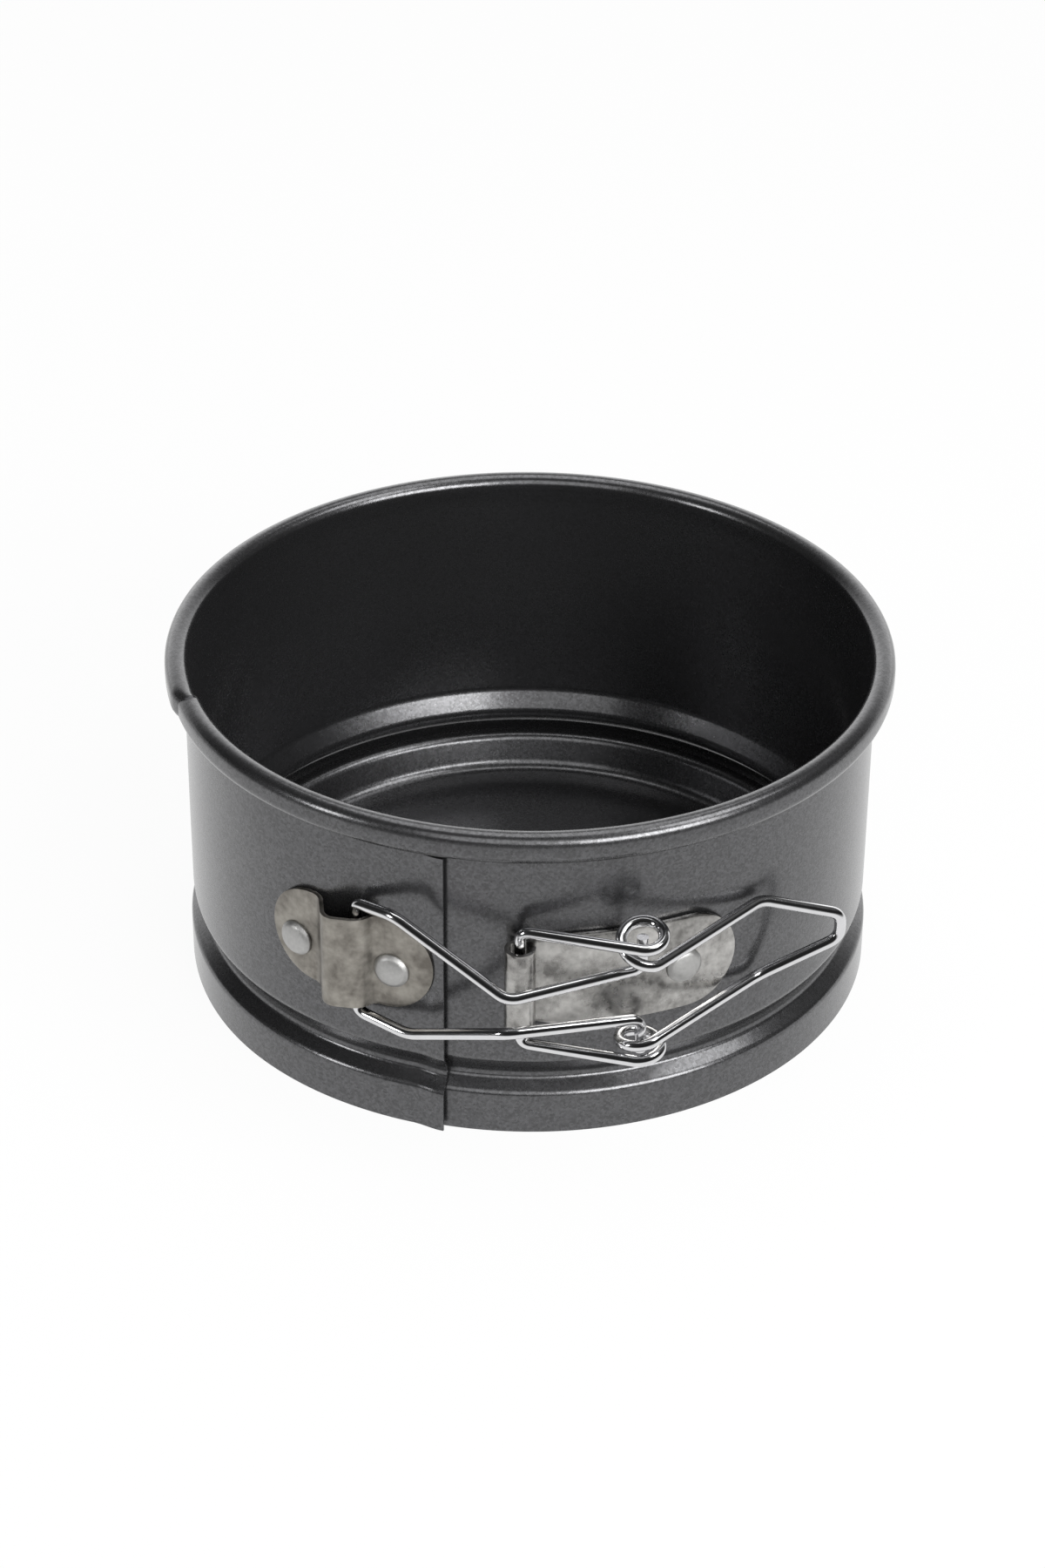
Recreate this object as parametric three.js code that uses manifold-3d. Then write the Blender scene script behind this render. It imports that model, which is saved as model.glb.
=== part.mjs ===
// Loose-base cake tin: a sprung side band with a rolled rim, closed by an over-centre wire latch
// around a dished loose base. Millimetres, +Z up, origin on the tin's axis at table level.
// An azimuth is counted in degrees from the front of the tin (-Y), positive towards +X.
import * as THREE from 'three';
import { mergeVertices } from 'three/addons/utils/BufferGeometryUtils.js';
import Module from 'manifold-3d';

// Side band
const WALL_RADIUS = 60.5; // outside of the straight wall
const BAND_HEIGHT = 61.0;
const BAND_SHEET = 0.4;
const RIM_WIDTH = 3.7; // rolled rim, wall inside to roll outside
const RIM_HEIGHT = 5.6;
const RIM_TUCK = 120; // degrees that the roll turns back under itself
const GROOVE_LOW = 8.0; // bead pressed inwards, which sits above the base
const GROOVE_HIGH = 14.7;
const GROOVE_DEPTH = 1.8;
const GROOVE_LEDGE_DROP = 3.0; // fall of the bead's upper face, from the wall to the crest
const GROOVE_KNEE_RISE = 2.0; // bend in the bead's lower face, above its foot
const GROOVE_KNEE_DEPTH = 1.6;
const GROOVE_ROUND = 0.6; // length of flat sheet taken up by a bend on each side
const SKIRT_FLARE = 0.55; // below the bead the band is this much wider

// Overlap of the band's two ends
const SEAM_AZIMUTH = -13; // cut edge of the outer end
const LAP_END_AZIMUTH = -71; // cut edge of the inner end, hidden behind the outer one
const LAP_START_AZIMUTH = -84; // where the outer end begins to leave the common circle
const LAP_SETTLE_AZIMUTH = -46; // from here on the inner end lies on the common circle
const LAP_GAP = 0.3;
const RIM_NOTCH_GAP = 0.5; // outer end's top edge to the inner end's rim

// Flex line at the back, where the two halves of the band hinge
const FLEX_SLIT = 0.3;

// Loose base
const BASE_SHEET = 0.5;
const BASE_PLAY = 0.4; // base edge to the band's inside
const BASE_RIM_RISE = 5.5; // top of the raised edge above the table
const BASE_RIM_INSET = 2.6; // width of the raised edge
const BASE_WALL_RUN = 3.1; // run of the sloping wall inside the raised edge
const BASE_ROUND = 1.0; // length of flat sheet taken up by a bend on each side
const BASE_LIP_DROP = 1.6; // edge turned down at the outside

// Latch sheet parts and rivets
const LATCH_HEIGHT = 31.7; // middle of the latch above the table
const FIT_GAP = 0.3;
const BRACKET_SHEET = 0.7;
const BRACKET_TALL = 18;
const LINK_BRACKET_AZIMUTH = -29;
const LINK_BRACKET_LONG = 31;
const LINK_BRACKET_LIFT = 0.9; // middle of the link bracket above the middle of the latch
const LOOP_AZIMUTH = -28.3;
const LOOP_HALF_ANGLE = 3.2; // half the raised loop, in degrees around the tin
const LOOP_PLAY = 1.0; // link wire to the loop and to the band
const LOOP_LEAN = 0.8; // the loop stands out more by this on its far side, and less on its pulled side
const LINK_RIVET_INSET_LEFT = 5.1; // rivets from the ends of the link bracket
const LINK_RIVET_INSET_RIGHT = 7.3;
const LEVER_PIVOT_AZIMUTH = -1.2;
const LEVER_RIVET_AZIMUTH = 25;
const KNUCKLE_TALL = 15.8;
const KNUCKLE_PLAY = 0.9; // lever wire to the inside of the rolled knuckle
const KNUCKLE_TURN = 285; // degrees of the roll
const KNUCKLE_TAPER = 8; // run over which the plate widens from the knuckle
const RIVET_HEAD_RADIUS = 3.2;
const RIVET_HEAD_RISE = 1.3;
const RIVET_SHANK_RADIUS = 1.4;
const RIVET_DROP = 0.65; // rivets below the middle of the latch

// Latch wires
const WIRE_DIAMETER = 2.0;
const WIRE_BEND = 2.2; // length of straight wire taken up by a bend on each side
const EYE_AZIMUTH = 16;
const EYE_PLAY = 1.5; // room around a wire inside the coil eye
const EYE_PLATE_GAP = 1.5; // coil to the lever bracket
const EYE_TURNS = 1; // full turns of the coil, beside the run from the arm to the handle
const EYE_TURN_GAP = 1.2; // between the coil's turns
const ARM_RISE = 11.2; // lever arms above and below the middle of the latch
const LEG_REACH = 6.2; // lever leg, from the arm down into the knuckle
const HANDLE_AZIMUTH = 38.7;
const HANDLE_WALL_GAP = 0.6;
const HANDLE_HALF_WIDTH = 7.7;
const HANDLE_END_AZIMUTH = 49.7;
const HANDLE_END_LIFT = 7.5; // handle end to the wall
const HANDLE_END_HALF_WIDTH = 2.4;
const LINK_SIDE_SHIFT = 1.5; // degrees that the wire lies to the pulled side of the loop
const LINK_LEG_RISE = 11.5;
const LINK_SHOULDER_AZIMUTH = -17.9;
const LINK_SHOULDER_GAP = 3.3; // wire to the outer end of the band
const LINK_SHOULDER_RISE = 11;
const LINK_KINK_AZIMUTH = -2.6;
const LINK_KINK_GAP = 5; // wire to the knuckle
const LINK_KINK_RISE = 3.3;

// Fineness of the facets
const BAND_STEP = 6; // degrees
const BASE_SEGMENTS = 60;
const WIRE_SIDES = 8;
const COIL_STEPS = 10; // per turn

const wireRadius = WIRE_DIAMETER / 2;
const lapShift = BAND_SHEET + LAP_GAP;
const lapOuterRadius = WALL_RADIUS + lapShift;
const wallInside = WALL_RADIUS - BAND_SHEET;
const rimOutside = wallInside + RIM_WIDTH;
const linkEar = lapOuterRadius + FIT_GAP + BRACKET_SHEET / 2;
const rivetHeight = LATCH_HEIGHT - RIVET_DROP;

const wasm = await Module();
wasm.setup();

const radians = THREE.MathUtils.degToRad;

function polar(azimuth, radius, z) {
  const angle = radians(azimuth);
  return new THREE.Vector3(radius * Math.sin(angle), -radius * Math.cos(angle), z);
}

function plan(azimuth, radius) {
  const point = polar(azimuth, radius, 0);
  return new THREE.Vector2(point.x, point.y);
}

function geometryOf(positions, triangles) {
  const geometry = new THREE.BufferGeometry();
  geometry.setAttribute('position', new THREE.Float32BufferAttribute(positions, 3));
  geometry.setIndex(triangles);
  return geometry;
}

// Closed skin over rings of points: rings[i][j] joins rings[i + 1][j], and both ends are capped.
function skin(rings, capTriangles) {
  const size = rings[0].length;
  const last = (rings.length - 1) * size;
  const triangles = [];
  for (let i = 0; i < rings.length - 1; i += 1) {
    for (let j = 0; j < size; j += 1) {
      const a = i * size + j;
      const b = i * size + ((j + 1) % size);
      triangles.push(a, b, b + size, a, b + size, a + size);
    }
  }
  for (const [a, b, c] of capTriangles) {
    triangles.push(c, b, a, last + a, last + b, last + c);
  }
  return geometryOf(rings.flat().flatMap((point) => point.toArray()), triangles);
}

function solidOf(geometry) {
  const bare = geometry.clone();
  bare.deleteAttribute('normal');
  bare.deleteAttribute('uv');
  const merged = mergeVertices(bare, 1e-5);
  return new wasm.Manifold(new wasm.Mesh({
    numProp: 3,
    vertProperties: new Float32Array(merged.attributes.position.array),
    triVerts: new Uint32Array(merged.index.array),
  }));
}

function meshOf(solid) {
  const { vertProperties, triVerts } = solid.getMesh();
  return geometryOf(Array.from(vertProperties), Array.from(triVerts));
}

function cut(geometry, cutters) {
  const body = cutters.reduce((left, cutter) => left.subtract(solidOf(cutter)), solidOf(geometry));
  return meshOf(body);
}

function offsets(path, thickness) {
  return path.map((point, i) => {
    const before = path[Math.max(i - 1, 0)];
    const after = path[Math.min(i + 1, path.length - 1)];
    const into = point.clone().sub(i > 0 ? before : point);
    const out = after.clone().sub(point);
    const tangent = into.normalize().add(out.normalize()).normalize();
    const corner = i > 0 && i < path.length - 1 ? Math.max(tangent.dot(out), 0.5) : 1;
    return new THREE.Vector2(-tangent.y, tangent.x).multiplyScalar(thickness / 2 / corner);
  });
}

// Closed outline of a sheet that follows a centre line.
function sheetOutline(path, thickness) {
  const sides = offsets(path, thickness);
  const left = path.map((point, i) => point.clone().add(sides[i]));
  const right = path.map((point, i) => point.clone().sub(sides[i]));
  return [...right, ...left.reverse()];
}

// Sheet line with each inner corner replaced by a bend of three points.
function bent(path, round) {
  const line = path.map(([radius, z]) => new THREE.Vector2(radius, z));
  return line.flatMap((corner, i) => {
    if (i === 0 || i === line.length - 1) {
      return [corner];
    }
    const [start, end] = [line[i - 1], line[i + 1]].map((next) => {
      const run = Math.min(round, 0.45 * corner.distanceTo(next));
      return corner.clone().lerp(next, run / corner.distanceTo(next));
    });
    const middle = start.clone().add(end).multiplyScalar(0.25).addScaledVector(corner, 0.5);
    return [start, middle, end];
  });
}

function arc(centre, radius, from, to, steps) {
  const points = [];
  for (let i = 0; i <= steps; i += 1) {
    const angle = radians(from + ((to - from) * i) / steps);
    const spoke = new THREE.Vector2(Math.cos(angle), Math.sin(angle)).multiplyScalar(radius);
    points.push(centre.clone().add(spoke));
  }
  return points;
}

// Section of the band as (radius, height) points, from the foot to the tucked end of the rim.
function bandSection() {
  const middle = WALL_RADIUS - BAND_SHEET / 2;
  const roll = (RIM_WIDTH - BAND_SHEET) / 2;
  const upper = new THREE.Vector2(middle + roll, BAND_HEIGHT - BAND_SHEET / 2 - roll);
  const lower = new THREE.Vector2(upper.x, BAND_HEIGHT - RIM_HEIGHT + BAND_SHEET / 2 + roll);
  const wall = bent([
    [middle + SKIRT_FLARE, 0], [middle + SKIRT_FLARE, GROOVE_LOW],
    [middle - GROOVE_KNEE_DEPTH, GROOVE_LOW + GROOVE_KNEE_RISE],
    [middle - GROOVE_DEPTH, GROOVE_HIGH - GROOVE_LEDGE_DROP], [middle, GROOVE_HIGH], [middle, upper.y],
  ], GROOVE_ROUND).slice(0, -1);
  const rim = [...arc(upper, roll, 180, 0, 6), ...arc(lower, roll, 0, -RIM_TUCK, 4)];
  return sheetOutline([...wall, ...rim], BAND_SHEET);
}

// Outer and inner end of the lap: they stay one shift apart while both leave the common circle.
function lapRadius(azimuth) {
  return lapShift * THREE.MathUtils.smoothstep(azimuth, LAP_START_AZIMUTH, LAP_SETTLE_AZIMUTH);
}

function tuckRadius(azimuth) {
  return azimuth < LAP_SETTLE_AZIMUTH ? lapRadius(azimuth) - lapShift : 0;
}

// Solid swept around the tin; every sweep shares one grid of azimuths, so that lapped sheets stay parallel.
function sweepAround(outline, from, to, shiftAt) {
  const caps = THREE.ShapeUtils.triangulateShape(outline, []);
  const azimuths = [to];
  for (let step = Math.ceil(to / BAND_STEP) - 1; step * BAND_STEP > from; step -= 1) {
    azimuths.push(step * BAND_STEP);
  }
  azimuths.push(from);
  const rings = azimuths.map((azimuth) => outline.map(
    (point) => polar(azimuth, point.x + shiftAt(azimuth), point.y),
  ));
  return skin(rings, caps);
}

// Plain ring sector that clears a stretch of the band.
function sector(from, to, inside, outside, low, high) {
  const corners = [[inside, low], [outside, low], [outside, high], [inside, high]];
  const outline = corners.map(([radius, z]) => new THREE.Vector2(radius, z));
  return sweepAround(outline, from, to, () => 0);
}

// Cylinder along a radius of the tin, used for rivet holes.
function radialHole(azimuth, z, radius) {
  const length = 4 * RIVET_HEAD_RADIUS;
  const hole = new THREE.CylinderGeometry(radius, radius, length, 12);
  hole.rotateZ(radians(azimuth));
  return hole.translate(...polar(azimuth, WALL_RADIUS, z).toArray());
}

const rivetHole = RIVET_SHANK_RADIUS + FIT_GAP;
const linkRivets = [
  LINK_RIVET_INSET_LEFT - LINK_BRACKET_LONG / 2,
  LINK_BRACKET_LONG / 2 - LINK_RIVET_INSET_RIGHT,
].map((run) => LINK_BRACKET_AZIMUTH + THREE.MathUtils.radToDeg(Math.asin(run / linkEar)));
const flexAngle = THREE.MathUtils.radToDeg(FLEX_SLIT / 2 / WALL_RADIUS);

function sideBand() {
  const strip = sweepAround(bandSection(), LAP_END_AZIMUTH, 180 - flexAngle, tuckRadius);
  return cut(strip, [radialHole(LEVER_RIVET_AZIMUTH, rivetHeight, rivetHole)]);
}

function sideBandOuterEnd() {
  const strip = sweepAround(bandSection(), -180 + flexAngle, SEAM_AZIMUTH, lapRadius);
  const notchFrom = LAP_END_AZIMUTH - THREE.MathUtils.radToDeg(RIM_NOTCH_GAP / WALL_RADIUS);
  const notchLow = BAND_HEIGHT - RIM_HEIGHT - RIM_NOTCH_GAP;
  const notch = sector(
    notchFrom, SEAM_AZIMUTH + BAND_STEP, WALL_RADIUS - RIM_WIDTH, rimOutside + RIM_WIDTH,
    notchLow, BAND_HEIGHT + RIM_HEIGHT,
  );
  const holes = linkRivets.map((azimuth) => radialHole(azimuth, rivetHeight, rivetHole));
  return cut(strip, [notch, ...holes]);
}

function basePlate() {
  const edge = wallInside - BASE_PLAY - BASE_SHEET / 2;
  const top = BASE_RIM_RISE - BASE_SHEET / 2;
  const floor = BASE_SHEET / 2;
  const rim = edge - BASE_RIM_INSET + BASE_SHEET / 2;
  const wallFoot = rim - BASE_WALL_RUN;
  const path = bent([
    [0, floor], [wallFoot, floor], [rim, top], [edge, top], [edge, top - BASE_LIP_DROP],
  ], BASE_ROUND);
  return new THREE.LatheGeometry(sheetOutline(path, BASE_SHEET), BASE_SEGMENTS).rotateX(Math.PI / 2);
}

// Upright prism over a plan outline.
function prism(outline, low, high) {
  const geometry = new THREE.ExtrudeGeometry(new THREE.Shape(outline), {
    depth: high - low, bevelEnabled: false,
  });
  return geometry.translate(0, 0, low);
}

// Block over an elevation outline, whose points are (run along the tangent, height), seen from outside.
function elevationBlock(shape, azimuth, outside) {
  const geometry = new THREE.ExtrudeGeometry(shape, { depth: outside, bevelEnabled: false, curveSegments: 10 });
  geometry.rotateX(Math.PI / 2);
  return geometry.rotateZ(radians(azimuth));
}

function bracket(path, elevation, azimuth, holes) {
  const reach = WALL_RADIUS + RIM_WIDTH + BRACKET_TALL;
  const low = LATCH_HEIGHT - BRACKET_TALL;
  const sheet = solidOf(prism(sheetOutline(path, BRACKET_SHEET), low, low + 2 * BRACKET_TALL));
  const trimmed = sheet.intersect(solidOf(elevationBlock(elevation, azimuth, reach)));
  return cut(meshOf(trimmed), holes);
}

function planArc(from, to, radius) {
  const steps = Math.max(1, Math.round(Math.abs(to - from) / 3));
  const points = [];
  for (let i = 0; i <= steps; i += 1) {
    points.push(plan(from + ((to - from) * i) / steps, radius));
  }
  return points;
}

const linkAzimuth = LOOP_AZIMUTH + LINK_SIDE_SHIFT;
const linkPivotRadius = lapOuterRadius + LOOP_PLAY + wireRadius;

// Oval plate with two riveted ears and a raised upright loop between them.
function linkBracket() {
  const crown = linkPivotRadius + wireRadius + LOOP_PLAY + BRACKET_SHEET / 2;
  const halfAngle = THREE.MathUtils.radToDeg(LINK_BRACKET_LONG / 2 / linkEar) + 1;
  const loop = [LOOP_AZIMUTH - LOOP_HALF_ANGLE, LOOP_AZIMUTH + LOOP_HALF_ANGLE];
  const path = [
    ...planArc(LINK_BRACKET_AZIMUTH - halfAngle, loop[0], linkEar),
    plan(loop[0], crown + LOOP_LEAN),
    plan(loop[1], crown - LOOP_LEAN),
    ...planArc(loop[1], LINK_BRACKET_AZIMUTH + halfAngle, linkEar),
  ];
  const radius = BRACKET_TALL / 2;
  const straight = LINK_BRACKET_LONG / 2 - radius;
  const oval = new THREE.Shape();
  const middle = LATCH_HEIGHT + LINK_BRACKET_LIFT;
  oval.absarc(straight, middle, radius, -Math.PI / 2, Math.PI / 2);
  oval.absarc(-straight, middle, radius, Math.PI / 2, (3 * Math.PI) / 2);
  const holes = linkRivets.map((azimuth) => radialHole(azimuth, rivetHeight, rivetHole));
  return bracket(path, oval, LINK_BRACKET_AZIMUTH, holes);
}

const knuckleRadius = wireRadius + KNUCKLE_PLAY + BRACKET_SHEET / 2;
const leverPlateRadius = WALL_RADIUS + FIT_GAP + BRACKET_SHEET / 2;
const leverPivot = plan(LEVER_PIVOT_AZIMUTH, leverPlateRadius + knuckleRadius);

// Plate with a round end, riveted on, and a rolled knuckle at the other end.
function leverBracket() {
  const end = LEVER_RIVET_AZIMUTH + THREE.MathUtils.radToDeg(BRACKET_TALL / leverPlateRadius);
  const start = LEVER_PIVOT_AZIMUTH + 90;
  const path = [
    ...planArc(end, LEVER_PIVOT_AZIMUTH, leverPlateRadius).slice(0, -1),
    ...arc(leverPivot, knuckleRadius, start, start + KNUCKLE_TURN, 16),
  ];
  const run = leverPlateRadius * Math.sin(radians(LEVER_RIVET_AZIMUTH - LEVER_PIVOT_AZIMUTH));
  const tall = BRACKET_TALL / 2;
  const roll = knuckleRadius + BRACKET_SHEET;
  const outline = new THREE.Shape();
  outline.moveTo(-roll, LATCH_HEIGHT - KNUCKLE_TALL / 2);
  outline.lineTo(roll, LATCH_HEIGHT - KNUCKLE_TALL / 2);
  outline.lineTo(roll + KNUCKLE_TAPER, LATCH_HEIGHT - tall);
  outline.absarc(run, LATCH_HEIGHT, tall, -Math.PI / 2, Math.PI / 2);
  outline.lineTo(roll + KNUCKLE_TAPER, LATCH_HEIGHT + tall);
  outline.lineTo(roll, LATCH_HEIGHT + KNUCKLE_TALL / 2);
  outline.lineTo(-roll, LATCH_HEIGHT + KNUCKLE_TALL / 2);
  return bracket(path, outline, LEVER_PIVOT_AZIMUTH, [
    radialHole(LEVER_RIVET_AZIMUTH, rivetHeight, rivetHole),
  ]);
}

// Domed rivet along a radius, flush with the inside of the sheet that it holds.
function rivet(azimuth, plateOutside, sheetInside) {
  const seat = plateOutside + FIT_GAP / 2;
  const profile = [[0, sheetInside], [RIVET_SHANK_RADIUS, sheetInside], [RIVET_SHANK_RADIUS, seat]];
  const domeSteps = 5;
  for (let i = 0; i <= domeSteps; i += 1) {
    const angle = (Math.PI / 2) * (i / domeSteps);
    profile.push([RIVET_HEAD_RADIUS * Math.cos(angle), seat + 0.2 + (RIVET_HEAD_RISE - 0.2) * Math.sin(angle)]);
    if (i === 0) {
      profile.splice(3, 0, [RIVET_HEAD_RADIUS, seat]);
    }
  }
  profile[profile.length - 1][0] = 0;
  const points = profile.map(([radius, along]) => new THREE.Vector2(radius, along));
  const geometry = new THREE.LatheGeometry(points, 16);
  geometry.rotateX(Math.PI);
  geometry.rotateZ(radians(azimuth));
  return geometry.translate(0, 0, rivetHeight);
}

// Wire path: corners marked with bend are rounded, the other points are kept.
function wirePath(stations) {
  const points = [];
  stations.forEach(({ at, bend }, i) => {
    if (!bend) {
      points.push(at);
      return;
    }
    const before = stations[i - 1].at.clone().sub(at);
    const after = stations[i + 1].at.clone().sub(at);
    const reach = Math.min(WIRE_BEND, before.length() * 0.45, after.length() * 0.45);
    const from = at.clone().add(before.setLength(reach));
    const to = at.clone().add(after.setLength(reach));
    points.push(...new THREE.QuadraticBezierCurve3(from, at, to).getPoints(4));
  });
  return points;
}

function wire(points) {
  const rings = [];
  const direction = new THREE.Vector3().subVectors(points[1], points[0]).normalize();
  const side = new THREE.Vector3(0, 0, 1);
  if (Math.abs(direction.z) > 0.9) {
    side.set(1, 0, 0);
  }
  points.forEach((point, i) => {
    const before = points[Math.max(i - 1, 0)];
    const after = points[Math.min(i + 1, points.length - 1)];
    direction.subVectors(after, before).normalize();
    side.addScaledVector(direction, -side.dot(direction)).normalize();
    const other = new THREE.Vector3().crossVectors(direction, side);
    const ring = [];
    for (let j = 0; j < WIRE_SIDES; j += 1) {
      const angle = (2 * Math.PI * j) / WIRE_SIDES;
      ring.push(point.clone()
        .addScaledVector(side, wireRadius * Math.cos(angle))
        .addScaledVector(other, wireRadius * Math.sin(angle)));
    }
    rings.push(ring);
  });
  const caps = [];
  for (let j = 1; j < WIRE_SIDES - 1; j += 1) {
    caps.push([0, j, j + 1]);
  }
  return skin(rings, caps);
}

const eyeRadius = WIRE_DIAMETER + EYE_PLAY;
const eyeStandOff = leverPlateRadius + BRACKET_SHEET / 2 + EYE_PLATE_GAP + wireRadius + eyeRadius;
const eye = plan(EYE_AZIMUTH, eyeStandOff);
const handle = plan(HANDLE_AZIMUTH, WALL_RADIUS + HANDLE_WALL_GAP + wireRadius);

function levelled(point, rise) {
  return new THREE.Vector3(point.x, point.y, LATCH_HEIGHT + rise);
}

// The lower half of a wire, from the middle of the latch back to the start.
function mirrored(stations) {
  return stations.map(({ at, bend }) => ({ at: levelled(at, LATCH_HEIGHT - at.z), bend })).reverse();
}

// Angle, at the eye's centre, of the point where a straight wire meets the coil.
function tangentAngle(from, leaving) {
  const line = from.clone().sub(eye);
  const opening = THREE.MathUtils.radToDeg(Math.acos(eyeRadius / line.length()));
  const towards = THREE.MathUtils.radToDeg(Math.atan2(line.y, line.x));
  return towards + (leaving ? -opening : opening);
}

// Coil eye of the upper arm, wound downwards from the arm to the handle.
function coilPoints() {
  const from = tangentAngle(leverPivot, false) - 360;
  const to = tangentAngle(handle, true) + 360 * EYE_TURNS;
  const turns = (to - from) / 360;
  const steps = Math.round(turns * COIL_STEPS);
  const points = [];
  for (let i = 0; i <= steps; i += 1) {
    const share = i / steps;
    const angle = radians(from + (to - from) * share);
    const spoke = new THREE.Vector2(Math.cos(angle), Math.sin(angle)).multiplyScalar(eyeRadius);
    points.push(levelled(eye.clone().add(spoke), ARM_RISE - share * turns * (WIRE_DIAMETER + EYE_TURN_GAP)));
  }
  return points;
}

const coil = coilPoints();
const handleRise = coil[coil.length - 1].z - LATCH_HEIGHT;

function leastCoilGap() {
  let least = Infinity;
  for (let i = 0; i < coil.length; i += 1) {
    for (let j = i + Math.ceil(COIL_STEPS / 2); j < coil.length; j += 1) {
      least = Math.min(least, coil[i].distanceTo(coil[j]) - WIRE_DIAMETER);
    }
  }
  return least;
}

console.log('least gap inside a coil eye, mm:', leastCoilGap().toFixed(2));

// Bail with a leg in each end of the knuckle, a coil eye on each arm and a finger handle.
function leverWire() {
  const end = plan(HANDLE_END_AZIMUTH, WALL_RADIUS + HANDLE_END_LIFT + wireRadius);
  const upper = [
    { at: levelled(leverPivot, ARM_RISE - LEG_REACH) },
    { at: levelled(leverPivot, ARM_RISE), bend: true },
    ...coil.map((at) => ({ at })),
    { at: levelled(handle, HANDLE_HALF_WIDTH), bend: true },
    { at: levelled(end, HANDLE_END_HALF_WIDTH), bend: true },
  ];
  return wire(wirePath([...upper, ...mirrored(upper)]));
}

// Link: one wire through the loop, bowed past the knuckle, its ends between the two coil eyes.
function linkWire() {
  const pivot = plan(linkAzimuth, linkPivotRadius);
  const shoulder = plan(LINK_SHOULDER_AZIMUTH, lapOuterRadius + LINK_SHOULDER_GAP + wireRadius);
  const knuckleFront = leverPlateRadius + 2 * knuckleRadius + BRACKET_SHEET / 2;
  const kink = plan(LINK_KINK_AZIMUTH, knuckleFront + LINK_KINK_GAP + wireRadius);
  const upper = [
    { at: levelled(eye, handleRise - WIRE_DIAMETER - FIT_GAP) },
    { at: levelled(kink, LINK_KINK_RISE), bend: true },
    { at: levelled(shoulder, LINK_SHOULDER_RISE), bend: true },
    { at: levelled(pivot, LINK_LEG_RISE), bend: true },
  ];
  return wire(wirePath([...upper, ...mirrored(upper)]));
}

const coating = { color: 0x4a4b4d, roughness: 0.36, metalness: 0.55 };
const steel = { color: 0xa8a398, roughness: 0.42, metalness: 0.9 };
const satin = { color: 0xc4c3bf, roughness: 0.4, metalness: 0.9 };
const chrome = { color: 0xd8d8da, roughness: 0.08, metalness: 1 };

const leverPlateOutside = leverPlateRadius + BRACKET_SHEET / 2;
const linkPlateOutside = lapOuterRadius + FIT_GAP + BRACKET_SHEET;
const pieces = [
  ['base_plate', basePlate(), coating],
  ['side_band', sideBand(), coating],
  ['side_band_outer_end', sideBandOuterEnd(), coating],
  ['link_bracket', linkBracket(), steel],
  ['lever_bracket', leverBracket(), steel],
  ['link_rivet_left', rivet(linkRivets[0], linkPlateOutside, lapOuterRadius - BAND_SHEET), satin],
  ['link_rivet_right', rivet(linkRivets[1], linkPlateOutside, lapOuterRadius - BAND_SHEET), satin],
  ['lever_rivet', rivet(LEVER_RIVET_AZIMUTH, leverPlateOutside, wallInside), satin],
  ['link_wire', linkWire(), chrome],
  ['lever_wire', leverWire(), chrome],
];

const tin = new THREE.Group();
for (const [name, geometry, finish] of pieces) {
  const mesh = new THREE.Mesh(geometry, new THREE.MeshStandardMaterial(finish));
  mesh.name = name;
  tin.add(mesh);
}

export default tin;
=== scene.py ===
# %% [markdown]
# # A loose-base cake tin
# The tin is a sprung steel band around a dished loose base. Its two lapped ends are pulled together at the
# front by an over-centre latch of bent wire. The packed model gives every size and every joint, so this
# lesson only adds what the eye sees: thin sheet with rolled edges, bright wire, pressed brackets, and a
# graphite coating. All drawing sizes below are millimetres, as a maker would write them, and are turned
# into Blender's metres once, when a mesh is made.

# %% Load the packed tin
import math

import bmesh
import bpy
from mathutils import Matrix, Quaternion, Vector


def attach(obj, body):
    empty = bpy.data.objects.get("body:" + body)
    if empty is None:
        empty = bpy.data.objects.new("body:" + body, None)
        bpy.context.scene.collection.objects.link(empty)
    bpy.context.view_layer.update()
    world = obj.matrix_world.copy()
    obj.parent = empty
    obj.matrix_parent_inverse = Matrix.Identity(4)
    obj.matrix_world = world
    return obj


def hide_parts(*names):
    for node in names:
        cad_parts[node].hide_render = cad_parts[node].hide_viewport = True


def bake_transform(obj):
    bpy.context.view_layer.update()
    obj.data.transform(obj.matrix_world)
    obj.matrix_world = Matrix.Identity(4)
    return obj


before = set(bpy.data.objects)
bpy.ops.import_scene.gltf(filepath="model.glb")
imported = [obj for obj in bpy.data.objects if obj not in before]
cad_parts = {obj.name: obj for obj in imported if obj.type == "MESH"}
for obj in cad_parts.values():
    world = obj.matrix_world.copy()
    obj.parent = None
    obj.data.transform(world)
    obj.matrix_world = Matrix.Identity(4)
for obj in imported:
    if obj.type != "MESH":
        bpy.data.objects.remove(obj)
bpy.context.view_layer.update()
scene = bpy.context.scene
MM = 0.001

# %% [markdown]
# ## Node trees as sums
# Both finishes and shapes are node trees here. Wiring nodes one by one is hard to read, so a small class
# wraps a socket: adding or multiplying two wrapped sockets adds the Math node that does it, and one method
# makes every other kind of node.


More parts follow.
